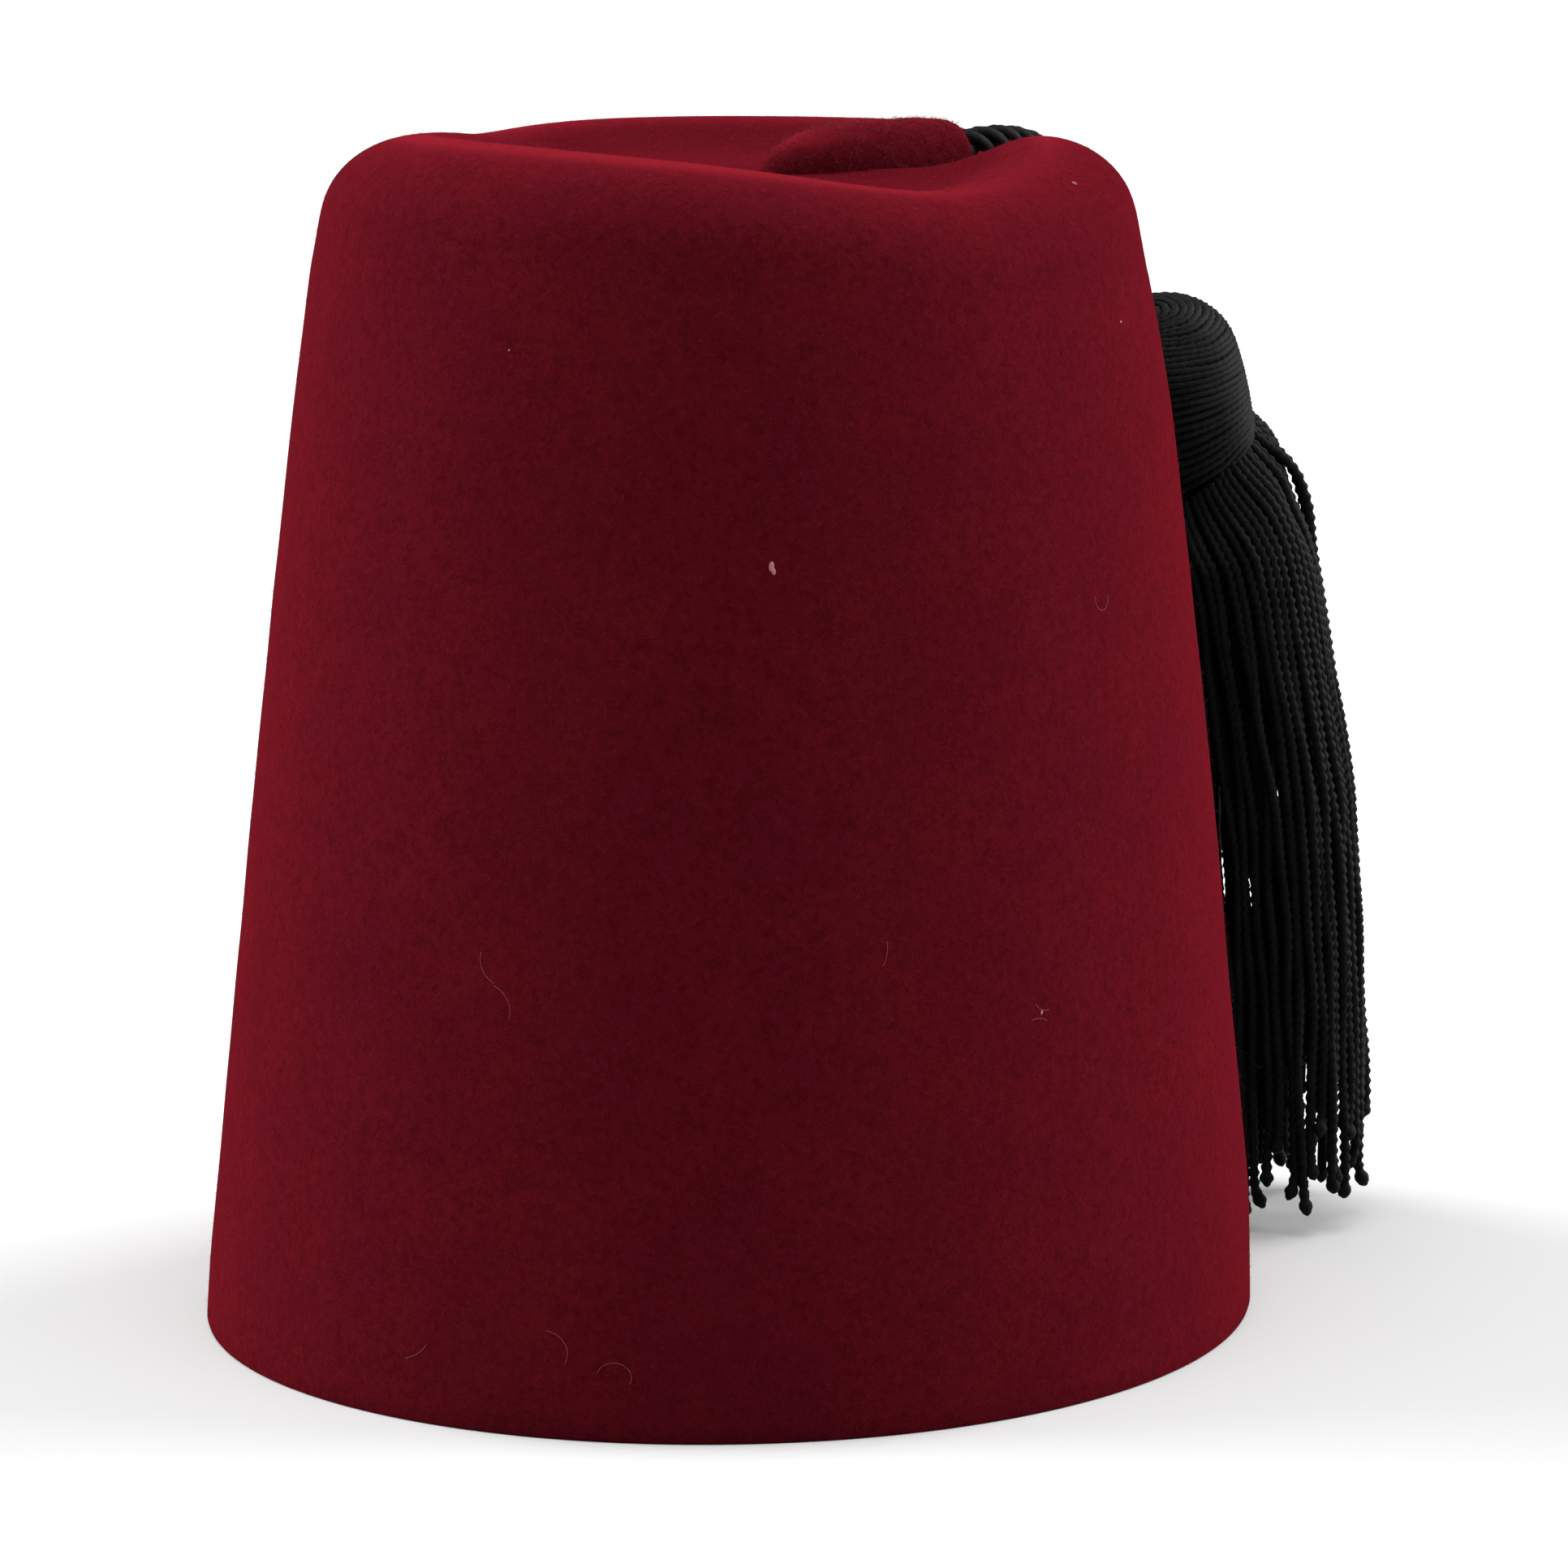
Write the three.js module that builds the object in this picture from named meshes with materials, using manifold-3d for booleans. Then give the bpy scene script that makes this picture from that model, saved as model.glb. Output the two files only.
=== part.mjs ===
// A tall fez: a blocked felt cap with a dished crown, and a tassel on a cord from a fold in the crown.
// Millimetres, +Z up. The origin is the middle of the rim's outline, on the plane that the rim rests on.
// The hat faces -Y and is longest along Y, as a head is. Azimuths are degrees from +X towards +Y.
import * as THREE from "three";
import { mergeVertices } from "three/addons/utils/BufferGeometryUtils.js";
import Module from "manifold-3d";

// Felt cap
const FELT = 2.5; // thickness of the felt
const RIM_RADIUS = 91.7; // mean outer radius of the rim
const OVAL = 0.0525; // how far the outline departs from a circle, as a share of its radius
const RIM_EASE = 0.6; // rounding of the rim's cut edge
const CAP_SEGMENTS = 72;

// The outer wall, rim to shoulder. scale is a share of the rim's radius, lean a shift along +X.
const WALL = [
  { height: RIM_EASE, scale: 1.0, lean: 0 },
  { height: 10, scale: 0.9955, lean: 0.2 },
  { height: 20, scale: 0.9875, lean: 0.5 },
  { height: 35, scale: 0.97, lean: 0.6 },
  { height: 55, scale: 0.9465, lean: 0.6 },
  { height: 78, scale: 0.9195, lean: 0.6 },
  { height: 100, scale: 0.892, lean: 0.6 },
  { height: 120, scale: 0.8668, lean: 0.6 },
  { height: 138, scale: 0.8432, lean: 0.6 },
  { height: 153, scale: 0.8218, lean: 0.5 },
  { height: 165, scale: 0.8015, lean: 0.3 },
  { height: 174, scale: 0.7835, lean: 0 },
];

// Crown: a rolled edge from the shoulder up to a crest, and a shallow dish inside the crest.
const SHOULDER = { height: 181, scale: 0.766 };
const CREST = { height: 194.6, scale: 0.57 };
const DISH_DEPTH = 5.7;
const DISH_FLATNESS = 2.4; // above 1, the dish's floor is flatter and its sides are steeper
const HOLLOW = { x: 33.5, y: 18.7, spread: 9, depth: 2.4 }; // where the pinched felt sinks beside the fold
const OUTER_ROLL_STEPS = 7;
const INNER_ROLL_STEPS = 4;
const OUTER_DISH_RINGS = 12;
const INNER_DISH_RINGS = 5;

// Rises and dips of the crown's edge, which die out down the wall and towards the middle of the dish
const EDGE_WAVES = [
  { azimuth: -32, spread: 36, lift: -5.6 }, // broad dip at the front right
  { azimuth: -125, spread: 45, lift: 2.0 }, // rise at the front left
  { azimuth: 18, spread: 12, lift: 0.9 }, // swell beside the notch
  { azimuth: 46.5, spread: 11, lift: -5.4 }, // notch that the tassel's cord lies in
  { azimuth: 158, spread: 16, lift: -1.2 }, // slight dip at the back left
];
const WAVE_FOOT = 148; // height at which the waves have died out down the wall

// Fold: a pinched roll of felt on the dish, from near the middle towards the cord's notch
const FOLD = {
  centre: new THREE.Vector3(20.4, 17.5, 185.5), // on the plane of its foot, below the dish
  azimuth: 47.7,
  halfLength: 14.4, // from its middle to where its ends start to round
  halfWidth: 8.8,
  height: 11.4,
  bluntness: 4.4, // how much shorter its outer end is than its round inner one
};
const FOLD_SEGMENTS = 32;
const FOLD_STEPS = 6;

// Cord, from inside the fold's end, through the notch and over the shoulder to the top of the tassel's head
const CORD_RADIUS = 2.4;
const CORD_GAP = 0.35; // clearance of the hole that the cord comes out of
const CORD_SIDES = 8;
const CORD_STEPS = 26;
const HOLE_STEPS = 4;
const HOLE_BOTTOM = { x: 27.2, y: 25.9, z: 192 };
const CORD_ROUTE = [
  { x: 27.5, y: 26.2, z: 192 },
  { x: 31, y: 29.4, z: 192.3 },
  { x: 34.3, y: 33.1, z: 192.7 },
  { x: 37.1, y: 37.1, z: 192.8 },
  { x: 39.6, y: 41.4, z: 192.2 },
  { x: 41.9, y: 45.7, z: 190.7 },
  { x: 44.1, y: 49.5, z: 188.4 },
  { x: 46.3, y: 52.6, z: 185.2 },
  { x: 48.4, y: 54.6, z: 181.1 },
  { x: 50.6, y: 56.1, z: 176.7 },
  { x: 52.8, y: 57.4, z: 172.2 },
  { x: 54.8, y: 59.2, z: 167.8 },
  { x: 56.5, y: 61, z: 163.9 },
];

// Tassel's head: a domed winding that leans against the wall
const HEAD = {
  centre: new THREE.Vector3(59.6, 66.7, 152.4), // middle of its dome
  axis: new THREE.Vector3(-0.102, -0.537, 0.839).normalize(), // towards its top
  domeRadius: 12,
  neckRadius: 13, // where the strands come out
  length: 17.5, // from the dome's middle to the strands
};
const HEAD_SEGMENTS = 24;
const DOME_STEPS = 6;

// Tassel's skirt: the outer form of its strands, top to bottom. out is the distance of a section's middle
// from the hat's axis, deep and wide are its half sizes across and along the wall, and tilt is its share
// of the head's lean.
const SKIRT_AZIMUTH = 50.5;
const SKIRT_SEGMENTS = 24;
const SKIRT = [
  { height: 137, out: 98.4, deep: 12.4, wide: 12.4, tilt: 1 },
  { height: 132.5, out: 99.6, deep: 14.8, wide: 17.5, tilt: 0.85 },
  { height: 125, out: 100.8, deep: 16.5, wide: 21.5, tilt: 0.5 },
  { height: 114, out: 102.4, deep: 17.6, wide: 24.5, tilt: 0.2 },
  { height: 100, out: 104.2, deep: 18.4, wide: 26, tilt: 0 },
  { height: 78, out: 107, deep: 18.8, wide: 27.5, tilt: 0 },
  { height: 55, out: 109.2, deep: 18.8, wide: 27, tilt: 0 },
  { height: 30, out: 111, deep: 18, wide: 27, tilt: 0 },
  { height: 4, out: 112.5, deep: 17, wide: 26, tilt: 0 },
];

const FELT_RED = new THREE.MeshStandardMaterial({ color: 0x6e0f1a, roughness: 0.95, metalness: 0 });
const CORD_BLACK = new THREE.MeshStandardMaterial({ color: 0x0d0d0e, roughness: 0.6, metalness: 0 });

const wasm = await Module();
wasm.setup();

const radians = THREE.MathUtils.degToRad;

// Eases from 0 to 1 as value goes from low to high.
function ease(value, low, high) {
  return THREE.MathUtils.smoothstep(value, low, high);
}

// A column of a table at a height, straight between its rows.
function columnAt(rows, height, column) {
  const above = rows.findIndex((row) => row.height >= height);
  if (above === 0) return rows[0][column];
  if (above < 0) return rows[rows.length - 1][column];
  const [low, high] = [rows[above - 1], rows[above]];
  const share = (height - low.height) / (high.height - low.height);
  return THREE.MathUtils.lerp(low[column], high[column], share);
}

// The outline's radius at an azimuth, as a share of its mean radius.
function outline(azimuth) {
  return 1 - OVAL * Math.cos(2 * azimuth);
}

// How far the crown's edge rises, or dips below zero, at an azimuth.
function edgeLift(azimuth) {
  return EDGE_WAVES.reduce((sum, wave) => {
    const turn = azimuth - radians(wave.azimuth);
    const away = Math.acos(Math.cos(turn)) / radians(wave.spread);
    return sum + wave.lift * Math.exp(-(away ** 2));
  }, 0);
}

// The dish's surface, from the middle out to the crest.
function dishRow(scale, drop) {
  const share = scale / CREST.scale;
  const depth = (DISH_DEPTH * (1 + Math.cos(Math.PI * share ** DISH_FLATNESS))) / 2;
  return { radius: scale * RIM_RADIUS, height: CREST.height - drop - depth, edge: ease(share, 0, 1) };
}

// A point of the rolled edge, from the crest at turn 0 to the shoulder at turn 1.
function rollRow(turn, inset) {
  const angle = (turn * Math.PI) / 2;
  const width = (SHOULDER.scale - CREST.scale) * RIM_RADIUS - inset;
  const drop = CREST.height - SHOULDER.height - inset;
  const height = SHOULDER.height + drop * Math.cos(angle);
  return { radius: CREST.scale * RIM_RADIUS + width * Math.sin(angle), height, edge: edgeShare(height) };
}

// A point of the wall, inset from its outer surface.
function wallRow({ height, scale }, inset) {
  return { radius: scale * RIM_RADIUS - inset, height, edge: edgeShare(height) };
}

// The share of the edge's waves that reaches down to a height.
function edgeShare(height) {
  return ease(height, WAVE_FOOT, CREST.height);
}

// The rows of the crown, from the shoulder to the middle of the dish.
function crownRows(rollSteps, dishRings, inset) {
  const roll = Array.from({ length: rollSteps + 1 }, (_, i) => rollRow(1 - i / rollSteps, inset));
  const dish = Array.from({ length: dishRings }, (_, i) => {
    return dishRow((CREST.scale * (dishRings - 1 - i)) / dishRings, inset);
  });
  return [...roll, ...dish];
}

// The cap's outer surface, closed by a flat underneath.
function outerProfile() {
  const flat = (radius) => ({ radius, height: 0, edge: 0 });
  const wall = WALL.map((row) => wallRow(row, 0));
  return [flat(0), flat(RIM_RADIUS - RIM_EASE), ...wall, ...crownRows(OUTER_ROLL_STEPS, OUTER_DISH_RINGS, 0)];
}

// The space for the head, which reaches below the rim so that it cuts the cap open.
function innerProfile() {
  const mouth = RIM_RADIUS - FELT + RIM_EASE;
  const below = (radius) => ({ radius, height: -1, edge: 0 });
  const wall = WALL.filter((_, i) => i === 0 || i > 2).map((row) => wallRow(row, FELT));
  const crown = crownRows(INNER_ROLL_STEPS, INNER_DISH_RINGS, FELT);
  return [below(0), below(mouth), { radius: mouth, height: 0, edge: 0 }, ...wall, ...crown];
}

// Turns a profile about Z, then moves each vertex as its profile row says.
function shapedLathe(profile, segments, shape) {
  const points = profile.map(({ radius, height }) => new THREE.Vector2(radius, height));
  const geometry = new THREE.LatheGeometry(points, segments).rotateX(Math.PI / 2);
  const position = geometry.getAttribute("position");
  const vertex = new THREE.Vector3();
  for (let i = 0; i < position.count; i++) {
    vertex.fromBufferAttribute(position, i);
    shape(vertex, profile[i % profile.length]);
    position.setXYZ(i, vertex.x, vertex.y, vertex.z);
  }
  geometry.computeVertexNormals();
  return geometry;
}

// How far the crown sinks into the hollow beside the fold.
function hollowDrop(x, y) {
  const away = Math.hypot(x - HOLLOW.x, y - HOLLOW.y) / HOLLOW.spread;
  return HOLLOW.depth * Math.exp(-(away ** 2));
}

// The felt cap's form: an oval outline, the crown's waves and its hollow.
function shapeCap(vertex, row) {
  const azimuth = Math.atan2(vertex.y, vertex.x);
  const radius = row.radius * outline(azimuth);
  vertex.x = radius * Math.cos(azimuth) + columnAt(WALL, row.height, "lean");
  vertex.y = radius * Math.sin(azimuth);
  const sunk = row.height > WAVE_FOOT ? hollowDrop(vertex.x, vertex.y) : 0;
  vertex.z = row.height + row.edge * edgeLift(azimuth) - sunk;
}

// A tube of a given radius along a route.
function tube(route, radius, steps) {
  const points = route.map(({ x, y, z }) => new THREE.Vector3(x, y, z));
  const section = new THREE.Shape(
    Array.from({ length: CORD_SIDES }, (_, i) => {
      const angle = (2 * Math.PI * i) / CORD_SIDES;
      return new THREE.Vector2(radius * Math.cos(angle), radius * Math.sin(angle));
    }),
  );
  const extrudePath = new THREE.CatmullRomCurve3(points, false, "centripetal");
  return new THREE.ExtrudeGeometry(section, { steps, extrudePath, bevelEnabled: false });
}

// A geometry as a solid that can be joined and cut.
function solidOf(geometry) {
  const bare = geometry.clone().deleteAttribute("normal").deleteAttribute("uv");
  const merged = mergeVertices(bare, 1e-3);
  return new wasm.Manifold(
    new wasm.Mesh({
      numProp: 3,
      vertProperties: merged.getAttribute("position").array,
      triVerts: new Uint32Array(merged.index.array),
    }),
  );
}

// A solid's surface as a geometry.
function geometryOf(solid) {
  const { vertProperties, triVerts } = solid.getMesh();
  const geometry = new THREE.BufferGeometry();
  geometry.setAttribute("position", new THREE.BufferAttribute(vertProperties, 3));
  geometry.setIndex(new THREE.BufferAttribute(triVerts, 1));
  geometry.computeVertexNormals();
  return geometry;
}

// Stretches a dome into the fold's form, along X, with a blunt outer end.
function shapeFold(vertex) {
  const squash = vertex.x > 0 ? FOLD.bluntness : 1;
  const spread = Math.abs(vertex.x) < 1e-6 ? 0 : Math.sign(vertex.x) * FOLD.halfLength;
  vertex.x = vertex.x / squash + spread;
}

// The fold, standing on its flat foot.
function foldGeometry() {
  const dome = Array.from({ length: FOLD_STEPS + 1 }, (_, i) => {
    const angle = (i / FOLD_STEPS) * (Math.PI / 2);
    return { radius: FOLD.halfWidth * Math.cos(angle), height: FOLD.height * Math.sin(angle) };
  });
  const geometry = shapedLathe([{ radius: 0, height: 0 }, ...dome], FOLD_SEGMENTS, shapeFold);
  return geometry.rotateZ(radians(FOLD.azimuth)).translate(...FOLD.centre);
}

// The felt cap with its fold, and the hole that the cord comes out of.
function makeFeltBody() {
  const outer = solidOf(shapedLathe(outerProfile(), CAP_SEGMENTS, shapeCap)).add(solidOf(foldGeometry()));
  const cap = outer.subtract(solidOf(shapedLathe(innerProfile(), CAP_SEGMENTS, shapeCap)));
  const holeRoute = [HOLE_BOTTOM, ...CORD_ROUTE.slice(0, HOLE_STEPS)];
  const hole = solidOf(tube(holeRoute, CORD_RADIUS + CORD_GAP, HOLE_STEPS));
  const mesh = new THREE.Mesh(geometryOf(cap.subtract(hole)), FELT_RED);
  mesh.name = "felt_body";
  return mesh;
}

function makeTasselCord() {
  const mesh = new THREE.Mesh(tube(CORD_ROUTE, CORD_RADIUS, CORD_STEPS), CORD_BLACK);
  mesh.name = "tassel_cord";
  return mesh;
}

// The head stands on its own axis, with the middle of its dome at the mesh's origin.
function makeTasselHead() {
  const dome = Array.from({ length: DOME_STEPS + 1 }, (_, i) => {
    const angle = (i / DOME_STEPS) * (Math.PI / 2);
    return new THREE.Vector2(HEAD.domeRadius * Math.cos(angle), HEAD.domeRadius * Math.sin(angle));
  });
  const base = [new THREE.Vector2(0, -HEAD.length), new THREE.Vector2(HEAD.neckRadius, -HEAD.length)];
  const geometry = new THREE.LatheGeometry([...base, ...dome], HEAD_SEGMENTS).rotateX(Math.PI / 2);
  const mesh = new THREE.Mesh(geometry, CORD_BLACK);
  mesh.name = "tassel_head";
  mesh.position.copy(HEAD.centre);
  mesh.quaternion.setFromUnitVectors(new THREE.Vector3(0, 0, 1), HEAD.axis);
  return mesh;
}

// One section of the skirt, an ellipse whose short axis points away from the hat.
function shapeSkirt(vertex, row) {
  const [outwards, sideways] = [vertex.x * row.deep, vertex.y * row.wide];
  const azimuth = radians(SKIRT_AZIMUTH);
  const dx = outwards * Math.cos(azimuth) - sideways * Math.sin(azimuth);
  const dy = outwards * Math.sin(azimuth) + sideways * Math.cos(azimuth);
  vertex.x = row.out * Math.cos(azimuth) + dx;
  vertex.y = row.out * Math.sin(azimuth) + dy;
  vertex.z = row.height - (row.tilt * (HEAD.axis.x * dx + HEAD.axis.y * dy)) / HEAD.axis.z;
}

function makeTasselSkirt() {
  const sides = SKIRT.map((row) => ({ ...row, radius: 1 })).reverse();
  const ends = [sides[0], sides[sides.length - 1]].map((row) => ({ ...row, radius: 0 }));
  const geometry = shapedLathe([ends[0], ...sides, ends[1]], SKIRT_SEGMENTS, shapeSkirt);
  const mesh = new THREE.Mesh(geometry, CORD_BLACK);
  mesh.name = "tassel_skirt";
  return mesh;
}

const hat = new THREE.Group();
hat.add(makeFeltBody(), makeTasselCord(), makeTasselHead(), makeTasselSkirt());

export default hat;
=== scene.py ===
"""A tall felt fez with a cord tassel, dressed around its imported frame.

Sizes in the classes are millimetres and angles are degrees. Meshes are made in metres, in the frame's own
axes: the origin is the middle of the rim on its resting plane, +Z is up and -Y is the hat's front.
"""

from __future__ import annotations

import sys

import logging
import math
from dataclasses import dataclass, field
from enum import Enum
from typing import Any, Sequence

import bmesh
import bpy
import numpy as np
from mathutils import Matrix, Vector, noise
from mathutils.bvhtree import BVHTree


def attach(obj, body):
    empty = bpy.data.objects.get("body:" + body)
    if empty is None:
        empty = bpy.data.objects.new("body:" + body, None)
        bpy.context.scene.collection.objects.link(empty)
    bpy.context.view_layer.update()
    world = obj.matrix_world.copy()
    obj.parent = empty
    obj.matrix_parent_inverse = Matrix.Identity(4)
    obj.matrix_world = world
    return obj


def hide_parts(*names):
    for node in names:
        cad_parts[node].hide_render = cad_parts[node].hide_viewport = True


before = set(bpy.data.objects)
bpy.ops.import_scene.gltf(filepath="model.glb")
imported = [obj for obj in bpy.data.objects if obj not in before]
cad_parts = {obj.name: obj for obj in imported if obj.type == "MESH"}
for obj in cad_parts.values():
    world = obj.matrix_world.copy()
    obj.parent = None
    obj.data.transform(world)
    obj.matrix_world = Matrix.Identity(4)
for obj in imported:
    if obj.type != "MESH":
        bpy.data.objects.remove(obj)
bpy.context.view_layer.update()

MM = 0.001
BODY = "root"
# Name of the vertex attribute that says where the felt gets a painted highlight and painted shade.
PAINTED_LIGHTING = "painted_lighting"

log = logging.getLogger("fez")


class Slot(Enum):
    """The record's material slots."""

    FELT = "felt_red"
    TASSEL = "tassel_black"


# ---- Shader maths ----


class Signal:
    """A value in a material's node tree that takes part in Python arithmetic."""

    def __init__(self, shader: Shader, socket: bpy.types.NodeSocket) -> None:
        """Wraps a socket.

        Args:
            shader: The node tree's builder.
            socket: The output socket that carries the value.
        """
        self.shader = shader
        self.socket = socket

    def maths(self, operation: str, *others: Signal | float, first: float | None = None) -> Signal:
        """Adds a Math node.

        Args:
            operation: The Math node's operation.
            others: The operands after this one.
            first: A number to put before this value, for a reflected operation.

        Returns:
            The node's result.
        """
        operands = [self, *others] if first is None else [first, self, *others]
        inputs = dict(enumerate(operands))
        return self.shader.node("ShaderNodeMath", {"operation": operation}, inputs)

    def __add__(self, other: Signal | float) -> Signal:
        """Adds."""
        return self.maths("ADD", other)

    __radd__ = __add__

    def __sub__(self, other: Signal | float) -> Signal:
        """Subtracts."""
        return self.maths("SUBTRACT", other)

    def __rsub__(self, other: float) -> Signal:
        """Subtracts from a number."""
        return self.maths("SUBTRACT", first=other)

    def __mul__(self, other: Signal | float) -> Signal:
        """Multiplies."""
        return self.maths("MULTIPLY", other)

    __rmul__ = __mul__

    def __abs__(self) -> Signal:
        """Takes the size without its sign."""
        return self.maths("ABSOLUTE")

    def between(self, low: float, high: float) -> Signal:
        """Eases from 0 to 1.

        Args:
            low: The value that gives 0.
            high: The value that gives 1.

        Returns:
            The eased share.
        """
        settings = {"interpolation_type": "SMOOTHSTEP"}
        inputs = {"Value": self, "From Min": low, "From Max": high}
        return self.shader.node("ShaderNodeMapRange", settings, inputs)


class Shader:
    """Builds the node tree of one material around its Principled shader."""

    def __init__(self, name: str) -> None:
        """Makes the material.

        Args:
            name: The material's name.
        """
        self.material = bpy.data.materials.new(name)
        self.material.use_nodes = True
        self.tree = self.material.node_tree
        self.surface = self.tree.nodes["Principled BSDF"]
        coordinates = self.tree.nodes.new("ShaderNodeTexCoord")
        self.place = Signal(self, coordinates.outputs["Object"])

    def feed(self, socket: bpy.types.NodeSocket, value: Any) -> None:
        """Links a signal to a socket, or sets a constant on it.

        Args:
            socket: The input socket.
            value: A signal, a number, a colour or a vector.
        """
        if isinstance(value, Signal):
            self.tree.links.new(value.socket, socket)
        else:
            socket.default_value = value

    def node(self, kind: str, settings: dict[str, Any], inputs: dict[Any, Any], output: Any = 0) -> Signal:
        """Adds a node.

        Args:
            kind: The node's type.
            settings: The node's own properties, set before its sockets.
            inputs: Values or signals by the socket's name or number.
            output: The name or number of the output wanted.

        Returns:
            That output.
        """
        made = self.tree.nodes.new(kind)
        for name, value in settings.items():
            setattr(made, name, value)
        for name, value in inputs.items():
            self.feed(made.inputs[name], value)
        return Signal(self, made.outputs[output])

    def noise(self, grain: float, detail: float = 2.0, roughness: float = 0.5,
              distortion: float = 0.0) -> Signal:
        """Adds a noise pattern.

        Args:
            grain: The size of its features in millimetres.
            detail: How many finer layers it has.
            roughness: The strength of the finer layers.
            distortion: How much it swirls.

        Returns:
            Its value, about 0.5 in the mean.
        """
        inputs = {"Vector": self.place, "Scale": 1 / (grain * MM), "Detail": detail,
                  "Roughness": roughness, "Distortion": distortion}
        return self.node("ShaderNodeTexNoise", {}, inputs)

    def mix(self, share: Signal | float, first: Any, second: Any) -> Signal:
        """Mixes two colours.

        Args:
            share: How much of the second there is.
            first: A colour or a signal.
            second: A colour or a signal.

        Returns:
            The mixed colour.
        """
        inputs = {"Factor": share, 6: first, 7: second}
        return self.node("ShaderNodeMix", {"data_type": "RGBA"}, inputs, output=2)

    def bump(self, height: Signal, strength: float, depth: float) -> None:
        """Raises the surface by a height pattern.

        Args:
            height: The pattern, from 0 to 1.
            strength: How strongly it shades.
            depth: The height in millimetres that 1 stands for.
        """
        inputs = {"Height": height, "Strength": strength, "Distance": depth * MM}
        self.feed(self.surface.inputs["Normal"], self.node("ShaderNodeBump", {}, inputs))

    def set(self, **values: Any) -> None:
        """Sets the Principled shader's sockets, named with underscores for spaces."""
        for name, value in values.items():
            self.feed(self.surface.inputs[name.replace("_", " ")], value)


def srgb(red: int, green: int, blue: int) -> tuple[float, float, float, float]:
    """Turns a screen colour into a linear one.

    Args:
        red: Red, 0 to 255.
        green: Green, 0 to 255.
        blue: Blue, 0 to 255.

    Returns:
        The linear colour with an alpha of 1.
    """
    def linear(level: int) -> float:
        """Turns one channel linear."""
        share = level / 255
        return share / 12.92 if share <= 0.04045 else ((share + 0.055) / 1.055) ** 2.4

    return linear(red), linear(green), linear(blue), 1.0


# ---- Finishes ----


@dataclass(frozen=True)
class FeltFinish:
    """Dense wool felt: matted fibres, a short nap that catches the light, a painted highlight on the
    crown's edge and the fold's rim, and painted shade in the crown's dish.
    """

    deep: tuple = srgb(57, 7, 13)
    warm: tuple = srgb(70, 10, 17)
    cool: tuple = srgb(65, 9, 19)
    fibre: tuple = srgb(98, 20, 30)
    # The next colour is a painted highlight for the crown's edge and the fold's rim; the one after it is
    # painted shade for the crown's dish.
    painted_highlight: tuple = srgb(86, 14, 23)
    painted_shade: tuple = srgb(48, 5, 11)
    sheen: float = 0.14
    sheen_roughness: float = 0.38
    sheen_tint: tuple = srgb(205, 44, 60)

    def material(self) -> bpy.types.Material:
        """Makes the felt's material."""
        shader = Shader("wool_felt")
        # The painted light and shade on the cap and fold: below 0.5 paints shade, above 0.5 paints a
        # highlight.
        painted_lighting = shader.node("ShaderNodeAttribute", {"attribute_name": PAINTED_LIGHTING}, {}, output="Fac")
        clouds = shader.noise(6.0, detail=3.0, roughness=0.6)
        flecks = shader.noise(1.6, detail=4.0, roughness=0.7, distortion=0.6)
        hue = shader.noise(17.0, detail=2.0)
        strand = shader.noise(3.2, detail=2.5, roughness=0.55, distortion=1.6)
        matted = shader.noise(0.9, detail=3.0, roughness=0.7, distortion=1.2)
        wisps = 1.0 - abs(strand - 0.5).between(0.0, 0.02)
        hairs = 1.0 - abs(matted - 0.5).between(0.0, 0.05)
        body = shader.mix(hue.between(0.3, 0.7), self.warm, self.cool)
        body = shader.mix((clouds * 0.15 + flecks * 0.85).between(0.36, 0.6), self.deep, body)
        # Paints shade into the crown's dish, then a highlight along the crown's edge and the fold's rim.
        body = shader.mix((0.5 - painted_lighting).between(0.0, 0.5), body, self.painted_shade)
        body = shader.mix((painted_lighting - 0.5).between(0.0, 0.5), body, self.painted_highlight)
        body = shader.mix(wisps * 0.2 + hairs * 0.26, body, self.fibre)
        shader.set(Base_Color=body, Roughness=0.95 - flecks * 0.1, Sheen_Weight=self.sheen,
                   Sheen_Roughness=self.sheen_roughness, Sheen_Tint=self.sheen_tint,
                   Specular_IOR_Level=0.0)
        shader.bump(matted * 0.55 + flecks * 0.3 + wisps * 0.25, 0.42, 0.28)
        return shader.material


@dataclass(frozen=True)
class NapFinish:
    """Loose fibres that stand off the felt."""

    colour: tuple = srgb(92, 20, 30)

    def material(self) -> bpy.types.Material:
        """Makes the loose fibres' material."""
        shader = Shader("felt_nap")
        tone = shader.noise(7.0).between(0.3, 0.7)
        shader.set(Base_Color=shader.mix(tone * 0.6, self.colour, srgb(80, 12, 22)), Roughness=0.8,
                   Specular_IOR_Level=0.1)
        return shader.material


@dataclass(frozen=True)
class YarnFinish:
    """Black rayon yarn with a soft shine, a little paler where its fibres lie on top."""

    name: str
    deep: tuple = srgb(11, 11, 12)
    pale: tuple = srgb(21, 21, 21)
    roughness: float = 0.58
    sheen: float = 0.01
    grain: float = 0.5

    def material(self) -> bpy.types.Material:
        """Makes the yarn's material."""
        shader = Shader(self.name)
        fibres = shader.noise(self.grain, detail=3.0, roughness=0.65, distortion=0.8)
        lengths = shader.noise(6.0, detail=2.0)
        tone = (fibres * 0.65 + lengths * 0.35).between(0.34, 0.66)
        shader.set(Base_Color=shader.mix(tone, self.deep, self.pale),
                   Roughness=self.roughness + fibres * 0.15, Specular_IOR_Level=0.03,
                   Sheen_Weight=self.sheen, Sheen_Roughness=0.4, Sheen_Tint=srgb(150, 150, 156))
        shader.bump(fibres, 0.3, 0.12)
        return shader.material


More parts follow.
